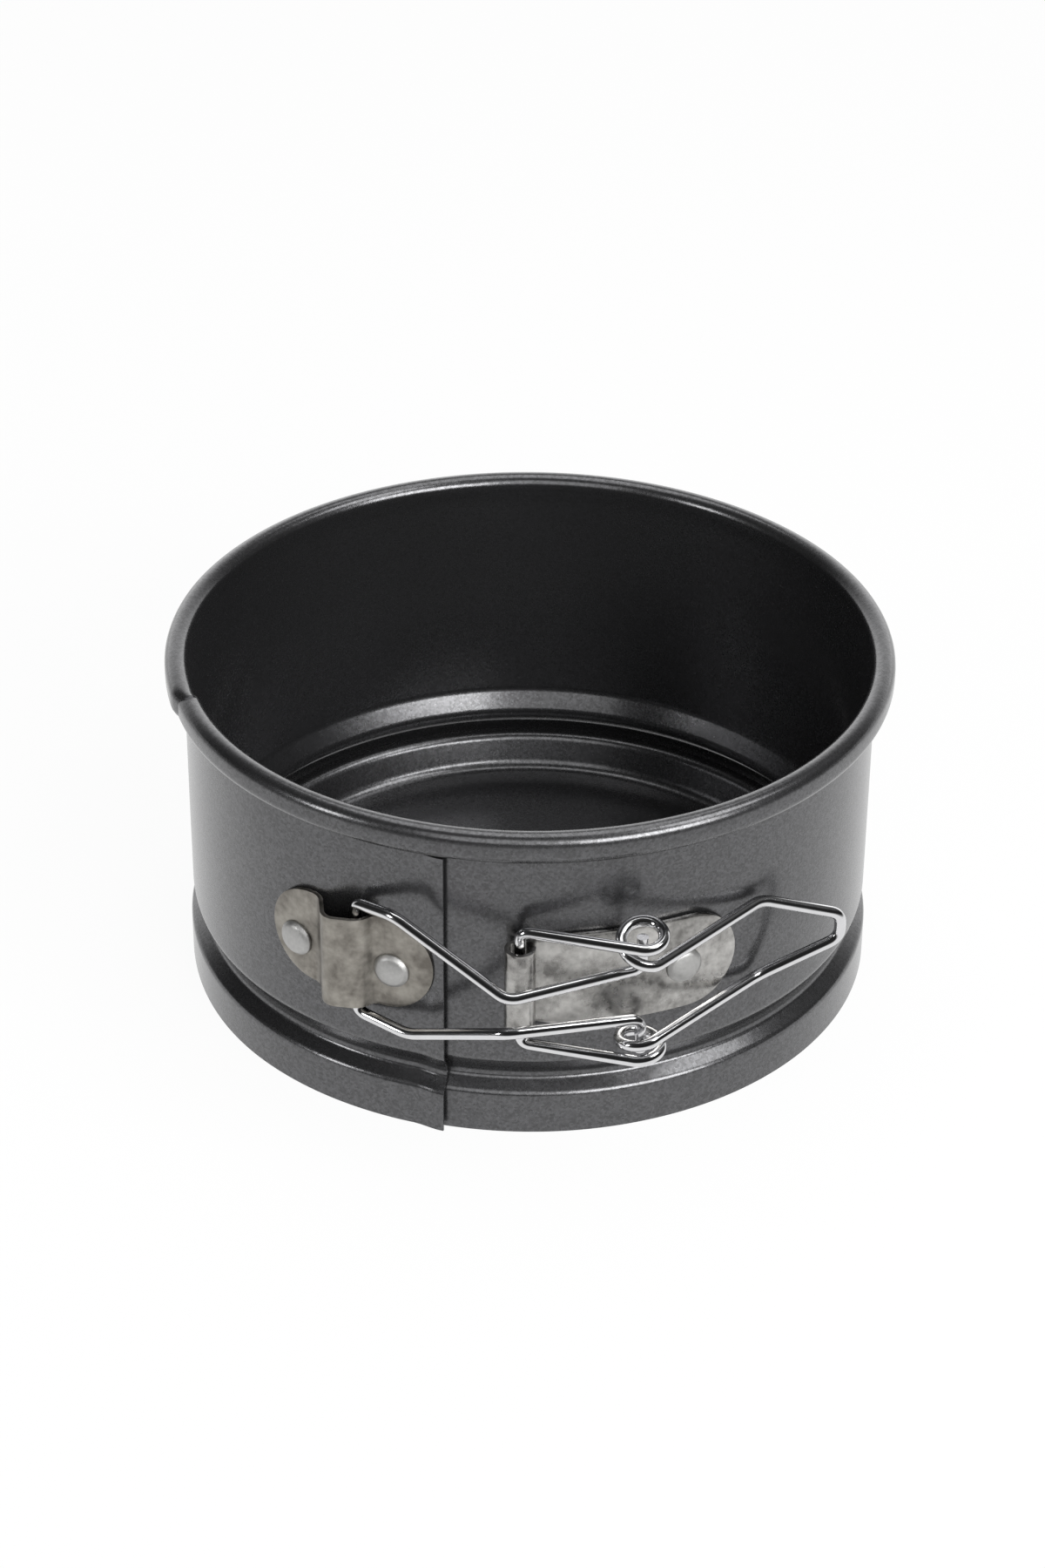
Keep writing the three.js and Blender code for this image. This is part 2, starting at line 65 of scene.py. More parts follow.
# %% A socket that can be added and multiplied
class Value:
    """One output socket of a node tree."""

    def __init__(self, tree, socket=None):
        self.tree, self.socket = tree, socket

    def node(self, kind, settings=None, sockets=None, output=0):
        made = self.tree.nodes.new(kind)
        for key, value in (settings or {}).items():
            if key == "stops":
                for place, (position, level) in enumerate(value):
                    stops = made.color_ramp.elements
                    stop = stops[place] if place < 2 else stops.new(position)
                    stop.position, stop.color = position, (level, level, level, 1)
            else:
                setattr(made, key, value)
        for key, value in (sockets or {}).items():
            if isinstance(value, Value):
                self.tree.links.new(value.socket, made.inputs[key])
            else:
                made.inputs[key].default_value = value
        return Value(self.tree, made.outputs[output] if made.outputs else None)

    def out(self, name):
        return Value(self.tree, self.socket.node.outputs[name])

    def math(self, operation, *values):
        return self.node("ShaderNodeMath", {"operation": operation}, dict(enumerate(values)))

    def __add__(self, other):
        return self.math("ADD", self, other)

    def __sub__(self, other):
        return self.math("SUBTRACT", self, other)

    def __rsub__(self, other):
        return self.math("SUBTRACT", other, self)

    def __mul__(self, other):
        return self.math("MULTIPLY", self, other)

    def __gt__(self, other):
        return self.math("GREATER_THAN", self, other)

    __radd__, __rmul__ = __add__, __mul__


print("operators ready:", [name for name in vars(Value) if name.startswith("__r")])

# %% [markdown]
# ## The graphite coating
# The coating is a baked non-stick film over steel. It is nearly black, but it carries metal flakes and dries
# with a fine orange-peel skin, so it looks mid grey where it mirrors a white table and black inside the tin.
# A plain grey paint would miss that, so the film is dark and glossy, with small flakes that turn metallic,
# and a fine bump that spreads the highlights.


# %% Coating material
def new_material(name):
    material = bpy.data.materials.new(name)
    material.use_nodes = True
    material.node_tree.nodes.clear()
    return material, Value(material.node_tree)


def finish_material(here, **inputs):
    shader = here.node("ShaderNodeBsdfPrincipled", None, {k.replace("_", " "): v for k, v in inputs.items()})
    here.node("ShaderNodeOutputMaterial", None, {"Surface": shader})


def mix_colour(here, share, dark, light):
    return here.node("ShaderNodeMix", {"data_type": "RGBA"}, {0: share, 6: dark, 7: light}, 2)


def speckle(here, place, scale):
    """A random level for each cell of a fine cell pattern."""
    cells = here.node("ShaderNodeTexVoronoi", None, {"Vector": place, "Scale": scale})
    return here.node("ShaderNodeSeparateColor", None, {"Color": cells.out("Color")})


def cloud(here, place, scale, detail=3.0):
    return here.node("ShaderNodeTexNoise", None, {"Vector": place, "Scale": scale, "Detail": detail})


def coating_material():
    material, here = new_material("graphite_coating")
    place = here.node("ShaderNodeTexCoord", None, None, "Object")
    flakes = speckle(here, place, 2500)
    peel = cloud(here, place, 1700, 2.0)
    drift = cloud(here, place, 45)
    colour = mix_colour(here, flakes, (0.066, 0.066, 0.068, 1), (0.120, 0.120, 0.125, 1))
    bump = here.node("ShaderNodeBump", None, {"Strength": 0.11, "Distance": 0.0001, "Height": peel})
    finish_material(
        here, Base_Color=colour, Metallic=0.82 + 0.08 * flakes,
        Roughness=0.22 + 0.05 * drift + 0.05 * peel, Normal=bump,
        Coat_Weight=0.30 + 0.16 * drift, Coat_Roughness=0.14,
    )
    return material


coating = coating_material()
print("coating nodes:", len(coating.node_tree.nodes))

# %% [markdown]
# ## Bare metals
# Three bare metals sit on the band. The brackets are plain pressed steel, dull and blotchy from handling.
# The rivets are satin aluminium. The wires are plated bright, so almost all of their look is reflection and
# the material only has to stay smooth, with a trace of drawing marks.


# %% Bracket, rivet and wire materials
def bracket_material(name, dark, light, rough, dents, scale):
    material, here = new_material(name)
    place = here.node("ShaderNodeTexCoord", None, None, "Object")
    blotch = cloud(here, place, scale, 4.0)
    stain = cloud(here, place, 900, 4.0)
    levels = here.node("ShaderNodeValToRGB", {"stops": [(0.36, 0.0), (0.68, 1.0)]}, {
        "Fac": blotch * 0.7 + stain * 0.3,
    })
    tone = here.node("ShaderNodeSeparateColor", None, {"Color": levels})
    bump = here.node("ShaderNodeBump", None, {"Strength": dents, "Distance": 0.0003, "Height": blotch})
    finish_material(
        here, Base_Color=mix_colour(here, tone, dark, light), Metallic=1.0,
        Roughness=rough + 0.16 * tone, Normal=bump,
    )
    return material


def rivet_material():
    material, here = new_material("satin_rivet")
    place = here.node("ShaderNodeTexCoord", None, None, "Object")
    marks = cloud(here, place, 1600, 4.0)
    colour = mix_colour(here, marks, (0.36, 0.36, 0.353, 1), (0.54, 0.535, 0.525, 1))
    finish_material(
        here, Base_Color=colour, Metallic=1.0, Roughness=0.40 + 0.14 * marks,
        Normal=here.node("ShaderNodeBump", None, {"Strength": 0.15, "Distance": 0.0001, "Height": marks}),
    )
    return material


def wire_material():
    material, here = new_material("bright_wire")
    place = here.node("ShaderNodeTexCoord", None, None, "Object")
    drawing = cloud(here, place, 700, 2.0)
    colour = mix_colour(here, drawing, (0.64, 0.64, 0.65, 1), (0.74, 0.74, 0.75, 1))
    finish_material(here, Base_Color=colour, Metallic=1.0, Roughness=0.10 + 0.06 * drawing)
    return material


link_steel = bracket_material(
    "dull_bracket_steel", (0.15, 0.138, 0.122, 1), (0.40, 0.38, 0.342, 1), 0.34, 0.22, 260,
)
lever_steel = bracket_material(
    "bright_bracket_steel", (0.17, 0.165, 0.157, 1), (0.60, 0.59, 0.57, 1), 0.2, 0.45, 150,
)
satin = rivet_material()
bright = wire_material()
print("metals:", [m.name for m in (link_steel, lever_steel, satin, bright)])

# %% [markdown]
# ## Turned sheet
# The band and the base follow one rule: a section of thin sheet carried around the tin's axis. Blender could
# spin a curve, but the band also has to swell outwards where its ends lap, and one end has its rim cut away.
# A Geometry Nodes tree holds the rule: each column of a grid is an azimuth, each row is a point of the
# section, and the named inputs say where the sheet starts, ends, laps and is notched.

# %% The turned sheet tree
EDGE_RUN = 0.09  # radians over which the free edge lifts off the wall
TUCK_RUN, TUCK = 0.035, 0.0004  # radians and metres by which the rim draws in before the notch
TUCK_DIP = 13  # the inner end is lower by this share for each metre that it is tucked in
SHEET_INPUTS = [
    ("From", "NodeSocketFloat"), ("To", "NodeSocketFloat"), ("Columns", "NodeSocketInt"),
    ("Lap from", "NodeSocketFloat"), ("Lap to", "NodeSocketFloat"), ("Shift before", "NodeSocketFloat"),
    ("Shift after", "NodeSocketFloat"), ("Edge lift", "NodeSocketFloat"), ("Notch from", "NodeSocketFloat"),
    ("Notch height", "NodeSocketFloat"), ("Ripple", "NodeSocketFloat"),
    ("Finish", "NodeSocketMaterial"),
]


def new_shape_tree(name, inputs):
    tree = bpy.data.node_groups.new(name, "GeometryNodeTree")
    tree.interface.new_socket("Geometry", in_out="INPUT", socket_type="NodeSocketGeometry")
    for label, kind in inputs:
        tree.interface.new_socket(label, in_out="INPUT", socket_type=kind)
    tree.interface.new_socket("Geometry", in_out="OUTPUT", socket_type="NodeSocketGeometry")
    here = Value(tree)
    return tree, here, here.node("NodeGroupInput")


def finish_shape(here, shape, given):
    smooth = here.node("GeometryNodeSetShadeSmooth", None, {"Geometry": shape})
    real = here.node("GeometryNodeRealizeInstances", None, {"Geometry": smooth})
    dressed = here.node("GeometryNodeSetMaterial", None, {"Geometry": real, "Material": given.out("Finish")})
    here.node("NodeGroupOutput", None, {"Geometry": dressed})


def turned_sheet_tree():
    tree, here, given = new_shape_tree("turned_sheet", SHEET_INPUTS)
    section = given.out("Geometry")
    rows = here.node("GeometryNodeAttributeDomainSize", None, {"Geometry": section}).out("Point Count")
    grid = here.node("GeometryNodeMeshGrid", None, {
        "Size X": 1.0, "Size Y": 1.0, "Vertices X": given.out("Columns"), "Vertices Y": rows,
    })
    spot = here.node("GeometryNodeInputPosition")
    apart = here.node("ShaderNodeSeparateXYZ", None, {"Vector": spot})
    row = here.math("ROUND", (apart.out("Y") + 0.5) * (rows - 1))
    point = here.node("GeometryNodeSampleIndex", {"data_type": "FLOAT_VECTOR", "domain": "POINT"}, {
        "Geometry": section, "Value": spot, "Index": row,
    })
    drawn = here.node("ShaderNodeSeparateXYZ", None, {"Vector": point})
    azimuth = given.out("From") + (apart.out("X") + 0.5) * (given.out("To") - given.out("From"))
    east, north = here.math("SINE", azimuth), -1 * here.math("COSINE", azimuth)
    lap = here.node("ShaderNodeMapRange", {"interpolation_type": "SMOOTHSTEP"}, {
        "Value": azimuth, "From Min": given.out("Lap from"), "From Max": given.out("Lap to"),
        "To Min": given.out("Shift before"), "To Max": given.out("Shift after"),
    })
    lift = here.node("ShaderNodeMapRange", {"interpolation_type": "SMOOTHSTEP"}, {
        "Value": azimuth, "From Min": given.out("To") - EDGE_RUN, "From Max": given.out("To"),
        "To Min": 0.0, "To Max": given.out("Edge lift"),
    })
    round_place = here.node("ShaderNodeCombineXYZ", None, {
        "X": east * drawn.out("X"), "Y": north * drawn.out("X"), "Z": drawn.out("Z"),
    })
    wave = here.node("ShaderNodeTexNoise", None, {"Vector": round_place, "Scale": 34.0, "Detail": 1.0})
    tuck = here.node("ShaderNodeMapRange", {"interpolation_type": "SMOOTHSTEP"}, {
        "Value": azimuth, "From Min": given.out("Notch from") - TUCK_RUN, "From Max": given.out("Notch from"),
        "To Min": 0.0, "To Max": TUCK,
    }) * (drawn.out("Z") > given.out("Notch height"))
    radius = drawn.out("X") + lap + lift - tuck + given.out("Ripple") * (wave - 0.5)
    dip = 1 + TUCK_DIP * here.math("MINIMUM", lap, 0.0)
    place = here.node("ShaderNodeCombineXYZ", None, {
        "X": radius * east, "Y": radius * north, "Z": drawn.out("Z") * dip,
    })
    turned = here.node("GeometryNodeSetPosition", None, {"Geometry": grid.out("Mesh"), "Position": place})
    now = here.node("ShaderNodeSeparateXYZ", None, {"Vector": here.node("GeometryNodeInputPosition")})
    bearing = here.math("ARCTAN2", now.out("X"), -1 * now.out("Y"))
    cut = (bearing > given.out("Notch from")) * (now.out("Z") > given.out("Notch height"))
    notched = here.node("GeometryNodeDeleteGeometry", {"domain": "FACE"}, {
        "Geometry": turned, "Selection": cut,
    })
    closed = here.node("GeometryNodeMergeByDistance", None, {"Geometry": notched, "Distance": 1e-6})
    finish_shape(here, closed, given)
    return tree


turned_sheet = turned_sheet_tree()
print("turned sheet nodes:", len(turned_sheet.nodes))

# %% [markdown]
# ## From tree to piece
# A tree's inputs are set by their identifiers. Solidify gives the sheet its thickness, and Bevel softens the
# edges of the base and the brackets. The result is then frozen into a plain mesh, because a piece that rides
# on a body should carry its own place and need no modifier.


# %% Helpers that make plain pieces
def line_mesh(name, points):
    """A mesh of points, in millimetres, joined one after another."""
    mesh = bpy.data.meshes.new(name)
    edges = [(i, i + 1) for i in range(len(points) - 1)]
    mesh.from_pydata([[c * MM for c in p] for p in points], edges, [])
    drawing = bpy.data.objects.new(name, mesh)
    scene.collection.objects.link(drawing)
    return drawing


def grow(drawing, tree, **inputs):
    modifier = drawing.modifiers.new(tree.name, "NODES")
    modifier.node_group = tree
    for item in tree.interface.items_tree:
        if item.in_out == "INPUT" and item.name in inputs:
            modifier[item.identifier] = inputs[item.name]
    return drawing


def thicken(drawing, thickness, edge=0.0):
    solid = drawing.modifiers.new("sheet", "SOLIDIFY")
    solid.thickness, solid.offset, solid.use_even_offset = thickness * MM, 0.0, True
    if edge:
        soft = drawing.modifiers.new("edge", "BEVEL")
        soft.width, soft.segments = edge * MM, 2
        soft.limit_method, soft.angle_limit = "ANGLE", math.radians(55)
    return drawing


def settle(drawing, name, material, sharp=38):
    """The evaluated drawing as a plain mesh object."""
    bpy.context.view_layer.update()
    seen = drawing.evaluated_get(bpy.context.evaluated_depsgraph_get())
    mesh = bpy.data.meshes.new_from_object(seen)
    mesh.name = name
    mesh.materials.clear()
    mesh.materials.append(material)
    mesh.set_sharp_from_angle(angle=math.radians(sharp))
    piece = bpy.data.objects.new(name, mesh)
    scene.collection.objects.link(piece)
    bpy.data.objects.remove(drawing)
    shell = bmesh.new()
    shell.from_mesh(mesh)
    volume = shell.calc_volume(signed=True) / MM**3
    open_edges = sum(1 for edge in shell.edges if not edge.is_manifold)
    shell.free()
    print(f"{name}: {len(mesh.polygons)} faces, {volume:.0f} mm3, open edges {open_edges}")
    return piece


def arc(centre, radius, start, end, steps):
    """Points of an arc in a plane, with angles in degrees."""
    turn = [math.radians(start + (end - start) * i / steps) for i in range(steps + 1)]
    return [(centre[0] + radius * math.cos(t), centre[1] + radius * math.sin(t)) for t in turn]


def around(azimuth, radius):
    """Plan point at an azimuth counted from the front of the tin, positive to the right."""
    turn = math.radians(azimuth)
    return radius * math.sin(turn), -radius * math.cos(turn)


def rounded(points, reach, steps=5):
    """A drawn line with rounded corners; reach, one or a list, is how far a rounding runs along the line."""
    line = [Vector(p) for p in points]
    reaches = reach if isinstance(reach, list) else [reach] * len(line)
    out = [line[0]]
    for before, corner, after, most in zip(line, line[1:], line[2:], reaches):
        run = min(most, (before - corner).length * 0.48, (after - corner).length * 0.48)
        start = corner + (before - corner).normalized() * run
        end = corner + (after - corner).normalized() * run
        for i in range(steps + 1):
            t = i / steps
            out.append(start * (1 - t) ** 2 + corner * 2 * t * (1 - t) + end * t**2)
    return out + [line[-1]]


print("helpers ready")

# %% [markdown]
# ## The side band
# The band is one strip about 0.4 mm thick. Its section climbs from the foot, dips inwards in a bead that sits
# above the base, runs straight up, and rolls outwards into an open oval rim. In reality the strip springs
# open as one piece. Here three lengths meet edge to edge: the right one and the left one ride their own
# halves, and the back one stays in place between the two. The wall is pressed in a little around the rivets,
# and at the lap the cut end of the outer rim is drawn in until it closes on the inner one.

# %% Section of the band
WALL = 60.3  # middle of the sheet
FLARE = 0.55  # the skirt below the bead is wider by this much
BAND_SHEET = 0.4
NOTCH_HEIGHT = 54.9  # above this the lapped part of the outer end is cut away
RIM_MIDDLE, RIM_ROUND = 61.72, 1.78  # middle of the rolled rim and its radius


def band_section():
    skirt = [(WALL + FLARE, z) for z in (0.0, 0.4, 1.0, 2.2, 4.2, 6.0)]
    bead = rounded([
        (WALL + FLARE, 6.2), (WALL + FLARE, 7.7), (58.3, 9.6), (58.2, 10.9), (WALL, 14.7), (WALL, 16.2),
    ], [0.8, 0.75, 1.0, 1.7], 10)
    wall = [(WALL, 17 + 1.5 * i) for i in range(26)] + [(WALL, NOTCH_HEIGHT), (WALL, 56.0)]
    lean = [(WALL - 0.04, 57.0), (WALL - 0.16, 58.0)]
    over = arc((RIM_MIDDLE, 59.12), RIM_ROUND, 172, 0, 14)
    under = arc((RIM_MIDDLE, 57.48), RIM_ROUND, 0, -128, 11)
    return skirt + [tuple(p) for p in bead] + wall + lean + over + under


section = [(r, 0, z) for r, z in band_section()]
print("points in the section:", len(section))


# %% Three lengths of band
LAP_FROM, LAP_TO = -84, -46  # degrees between which the two ends part
LAP_STEP = 0.7  # the inner end moves in and the outer end out by this much
RIVET_LEFT, RIVET_RIGHT, LEVER_RIVET = -38.7, -21.4, 25.0  # azimuths
NO_NOTCH = 500  # an azimuth that is never reached


def band_length(name, start, end, before=0.0, after=0.0, lift=0.0, notch=NO_NOTCH):
    drawing = line_mesh("band_section", section)
    grow(drawing, turned_sheet, **{
        "From": math.radians(start), "To": math.radians(end), "Columns": int(abs(end - start)) + 1,
        "Lap from": math.radians(LAP_FROM), "Lap to": math.radians(LAP_TO),
        "Shift before": before * MM, "Shift after": after * MM, "Edge lift": lift * MM,
        "Notch from": math.radians(notch), "Notch height": NOTCH_HEIGHT * MM + 1e-5,
        "Ripple": 0.12 * MM, "Finish": coating,
    })
    thicken(drawing, BAND_SHEET)
    return settle(drawing, name, coating, 25)


def dent(piece, places):
    """Press shallow dents, given as azimuth, height, reach and depth, into a length of band."""
    for vertex in piece.data.vertices:
        x, y, z = vertex.co / MM
        radius, azimuth = math.hypot(x, y), math.degrees(math.atan2(x, -y))
        for middle, height, reach, depth in places:
            far = math.hypot(math.radians(azimuth - middle) * radius, z - height) / reach
            if far < 1:
                x, y = (c * (1 - depth / radius * (1 - far * far) ** 2) for c in (x, y))
        vertex.co.xy = x * MM, y * MM


def close_lap(piece, run, step):
    """Bring the rim's cut end in by a step, over a run in degrees, to close on the inner end's rim."""
    rim = [v.co for v in piece.data.vertices if v.co.z > (NOTCH_HEIGHT + 0.5) * MM]
    turns = [math.degrees(math.atan2(place.x, -place.y)) for place in rim]
    end = max(turns)
    print(f"rim of {piece.name} ends at {end:.1f} degrees")
    for place, turn in zip(rim, turns):
        share = max(0, 1 - (end - turn) / run)
        # outer is 0 on the inner side of the rim and 1 on its outer side
        outer = min(1, max(0, (place.xy.length / MM - WALL - 0.6) / 2.4))
        place.xy *= 1 - step * MM * share**2 * (3 - 2 * share) * outer / place.xy.length


band_right = band_length("side_band_right", -71.6, 90, before=-LAP_STEP)
band_left = band_length("side_band_left", -90, -13, after=LAP_STEP, lift=0.9, notch=-70.6)
band_back = band_length("side_band_back", -270, -90)
close_lap(band_left, 3.5, 0.68)
dent(band_right, [(LEVER_RIVET, 31, 13.5, 0.5), (36, 33, 5, 0.35)])
dent(band_left, [(RIVET_LEFT, 31, 9, 0.25), (RIVET_RIGHT, 31, 9, 0.25)])
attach(band_right, "ring")
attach(band_left, "outer_end")
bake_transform(band_back)
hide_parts("side_band")
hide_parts("side_band_outer_end")

# %% [markdown]
# ## The loose base
# The base is a shallow dish: a flat middle that the tin stands on, and a steep wall up to a raised edge that
# the bead of the band closes over. It is the same turned sheet, carried all the way round, with its two ends
# merged.

# %% Base plate
BASE_SHEET = 0.5
FULL_TURN = {  # a whole turn, with no lap, and with the notch out of reach
    "From": -math.pi, "To": math.pi, "Lap from": 0.0, "Lap to": 1.0, "Notch from": 9.0, "Notch height": 1.0,
}
base_line = rounded([
    (0, 0, 0.25), (54.0, 0, 0.25), (56.8, 0, 6.4), (59.4, 0, 6.2), (59.4, 0, 3.7),
], [2.0, 1.6, 0.7], 12)
drawing = line_mesh("base_section", base_line)
grow(drawing, turned_sheet, Columns=241, Ripple=0.05 * MM, Finish=coating, **FULL_TURN)
base_plate = settle(thicken(drawing, BASE_SHEET, 0.12), "base_dish", coating, 25)
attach(base_plate, "base")
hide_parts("base_plate")

# %% [markdown]
# ## Bent wire
# Link and lever are each one length of 2 mm wire. A wire is a path with a round section, which Geometry Nodes
# does in three steps: mesh line to curve, circle along the curve, caps on the ends. The bends are rounded in
# the path first, so the wire keeps its diameter through them.

# %% The round wire tree
WIRE = 2.0


def round_wire_tree():
    tree, here, given = new_shape_tree("round_wire", [
        ("Diameter", "NodeSocketFloat"), ("Sides", "NodeSocketInt"), ("Finish", "NodeSocketMaterial"),
    ])
    path = here.node("GeometryNodeMeshToCurve", None, {"Mesh": given.out("Geometry")})
    ring = here.node("GeometryNodeCurvePrimitiveCircle", None, {
        "Resolution": given.out("Sides"), "Radius": given.out("Diameter") * 0.5,
    })
    tube = here.node("GeometryNodeCurveToMesh", None, {
        "Curve": path, "Profile Curve": ring, "Fill Caps": True,
    })
    finish_shape(here, tube, given)
    return tree


round_wire = round_wire_tree()


def wire_piece(name, path):
    drawing = grow(line_mesh(name + "_path", path), round_wire, Diameter=WIRE * MM, Sides=20, Finish=bright)
    return settle(drawing, name, bright, 60)


print("wire tree nodes:", len(round_wire.nodes))

# %% [markdown]
# ## The latch wires
# The lever has a leg in each end of the knuckle, an arm to a coil eye, and a handle bent outwards for a
# finger. It is nearly the same above and below the middle of the latch, so its lower half is drawn like the
# upper one and mirrored; only the upper coil has been bent to lean up at the back. The link passes through
# the loop of its bracket, bows out past the knuckle, and hooks into the two coil eyes. It is bent a little
# unevenly, as the real one is, so all its corners are given.

# %% Lever wire
MIDDLE = 31.7  # middle of the latch above the table
PIVOT_AZIMUTH = -1.2
PIVOT = around(PIVOT_AZIMUTH, 63.4)
EYE = around(16, 67.5)
EYE_RADIUS = 3.5


def level(plan, rise):
    return Vector((plan[0], plan[1], MIDDLE + rise))


def mirrored(upper):
    return [Vector((p.x, p.y, 2 * MIDDLE - p.z)) for p in reversed(upper)]


def eye_coil(start, end, top, bottom, lean):
    """Coil around the eye, wound from the arm down to the handle and leaning up at the back."""
    steps = int(abs(end - start) / 6)
    ring = arc(EYE, EYE_RADIUS, start, end, steps)
    path = []
    for i, p in enumerate(ring):
        share = i / steps
        path.append(level(p, top + (bottom - top) * share + lean * math.sin(share * math.pi) ** 2))
    return path


def meeting_angle(point, side):
    """Angle at the eye where a straight wire from a point touches the coil."""
    run = Vector(point) - Vector(EYE)
    opening = math.degrees(math.acos(EYE_RADIUS / run.length))
    return math.degrees(math.atan2(run.y, run.x)) + side * opening


ARM, GRIP = 11.2, 7.5  # where the coil starts and ends, above the middle of the latch
shoulder = around(38.7, 62.1)
tip = around(49.7, 69.0)


def arm_and_eye(lean):
    coil = eye_coil(meeting_angle(PIVOT, 1) - 360, meeting_angle(shoulder, -1) + 360, ARM, GRIP, lean)
    return rounded([level(PIVOT, 5.0), level(PIVOT, ARM), coil[0]], 2.0, 8)[:-1] + coil


upper, lower = arm_and_eye(2.7), arm_and_eye(0.4)
outline = [upper[-1], level(shoulder, 7.7), level(tip, 2.4)]
grip = rounded(outline + mirrored(outline), 2.0, 8)
lever_path = upper[:-1] + grip + mirrored(lower[:-1])
lever_wire = wire_piece("lever_bail", lever_path)
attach(lever_wire, "lever")
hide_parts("lever_wire")

# %% Link wire
LOOP = around(-26.8, 63.2)
link_path = rounded([
    level(EYE, 11.4), level(EYE, 5.1), level(around(-2.6, 72.0), 3.4), level(around(-19.5, 65.8), 13.1),
    level(LOOP, 11.9), level(LOOP, -9.9), level(around(-17.7, 65.5), -10.4), level(around(-2.6, 72.0), -3.2),
    level(EYE, -5.1), level(EYE, -11.4),
], 1.9, 8)
link_wire = wire_piece("link_bail", link_path)
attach(link_wire, "link")
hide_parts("link_wire")

# %% [markdown]
# ## Pressed brackets
# Each bracket is a strip of steel bent in plan and trimmed to a round-ended shape in elevation. A grid
# carries both: its columns follow the bent line, and each column reaches from the lower to the upper edge of
# the outline at that place. Solidify and Bevel then give it gauge and soft, sheared edges.

# %% Strip helper
BRACKET_SHEET = 0.7
RIVET_DROP = 0.65  # rivets below the middle of the latch
SEAT_REACH, SEAT_PULL = 4.9, 0.0042  # size of a pressed rivet seat, and its depth as a share of the radius


def along(line):
    """Distances along a plan line."""
    run = [0.0]
    for a, b in zip(line, line[1:]):
        run.append(run[-1] + (Vector(b) - Vector(a)).length)
    return run


def point_at(line, run, s):
    for a, b, u, v in zip(line, line[1:], run, run[1:]):
        if s <= v or b == line[-1]:
            t = (s - u) / (v - u)
            return a[0] + (b[0] - a[0]) * t, a[1] + (b[1] - a[1]) * t


def dished(x, y, z, seats):
    """A point of a plate, pulled towards the wall around each rivet seat."""
    height = MIDDLE - RIVET_DROP
    for azimuth in seats:
        run = (math.atan2(x, -y) - math.radians(azimuth)) * math.hypot(x, y)
        far = min(1.0, math.hypot(run, z - height) / SEAT_REACH)
        pull = 1 - SEAT_PULL * (1 - far * far) ** 2
        x, y = x * pull, y * pull
    return [x * MM, y * MM, z * MM]


def pressed_strip(name, line, stations, edges, material, seats, rows=30):
    """Strip along a plan line; edges(s) gives its lower and upper edge at a distance s."""
    run = along(line)
    verts, faces = [], []
    for s in stations:
        x, y = point_at(line, run, s)
        low, high = edges(s)
        verts += [dished(x, y, low + (high - low) * j / rows, seats) for j in range(rows + 1)]
    size = rows + 1
    for i in range(len(stations) - 1):
        for j in range(rows):
            a = i * size + j
            faces.append((a, a + size, a + size + 1, a + 1))
    mesh = bpy.data.meshes.new(name)
    mesh.from_pydata(verts, [], faces)
    mesh.polygons.foreach_set("use_smooth", [True] * len(faces))
    strip = bpy.data.objects.new(name + "_strip", mesh)
    scene.collection.objects.link(strip)
    return settle(thicken(strip, BRACKET_SHEET, 0.16), name, material, 42)


def spread(start, end, step, round_start=0.0, round_end=0.0):
    """Stations from start to end, closer together over the round ends."""
    quarter = [math.pi / 2 * i / 14 for i in range(1, 15)]
    marks = [start]
    if round_start:
        marks += [start + round_start * (1 - math.cos(t)) for t in quarter]
    first, last = marks[-1], end - round_end
    count = max(1, round((last - first) / step))
    marks += [first + (last - first) * i / count for i in range(1, count + 1)]
    if round_end:
        marks += [last + round_end * math.sin(t) for t in quarter]
    return marks


def round_reach(distance, radius):
    """Half height of a round end at a distance from its tip."""
    return math.sqrt(max(0.0, radius**2 - (radius - min(distance, radius)) ** 2)) + 0.02


print("strip helpers ready")

# %% Link bracket
LINK_HALF = 8.8  # half the height of the plate
EAR = 61.85  # radius of the two ears


def link_line():
    corners = [around(-43.4 + 0.5 * i, EAR) for i in range(14)]
    corners += [around(-33.9, EAR), around(-30.5, 66.8), around(-25.6, 64.75), around(-24.3, EAR)]
    corners += [around(-22.1 + 0.5 * i, EAR) for i in range(16)]
    return [tuple(p) for p in rounded(corners, 2.0, 10)]


line = link_line()
full = along(line)[-1]


def link_edges(s):
    reach = min(round_reach(s, LINK_HALF), round_reach(full - s, LINK_HALF))
    middle = MIDDLE + 1.3 - 0.75 * s / full
    return middle - reach, middle + reach


link_bracket = pressed_strip(
    "link_bracket_plate", line, spread(0, full, 0.3, LINK_HALF, LINK_HALF), link_edges, link_steel,
    [RIVET_LEFT, RIVET_RIGHT],
)
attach(link_bracket, "outer_end")
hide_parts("link_bracket")

# %% Lever bracket
PLATE, KNUCKLE = 61.15, 2.25  # radius of the plate around the tin, and of the rolled knuckle
KNUCKLE_HALF, LEVER_HALF = 7.9, 9.0  # half the height at the knuckle and of the plate
ROLL_FROM, ROLL_TURN = 88.8, 285  # degrees
PLATE_END = 34.2  # azimuth of the round end's tip


def lever_line():
    roll = arc(PIVOT, KNUCKLE, ROLL_FROM + ROLL_TURN, ROLL_FROM, 40)
    return roll + [around(PIVOT_AZIMUTH + 0.7 * i, PLATE) for i in range(1, 51)]


line = lever_line()
roll_end = KNUCKLE * math.radians(ROLL_TURN)
full = PLATE * math.radians(PLATE_END - PIVOT_AZIMUTH) + roll_end


def lever_edges(s):
    widen = min(1.0, max(0.0, (s - roll_end) / 9.0))
    reach = KNUCKLE_HALF + (LEVER_HALF - KNUCKLE_HALF) * widen * widen * (3 - 2 * widen)
    reach = min(reach, round_reach(full - s, LEVER_HALF))
    return MIDDLE - reach, MIDDLE + reach


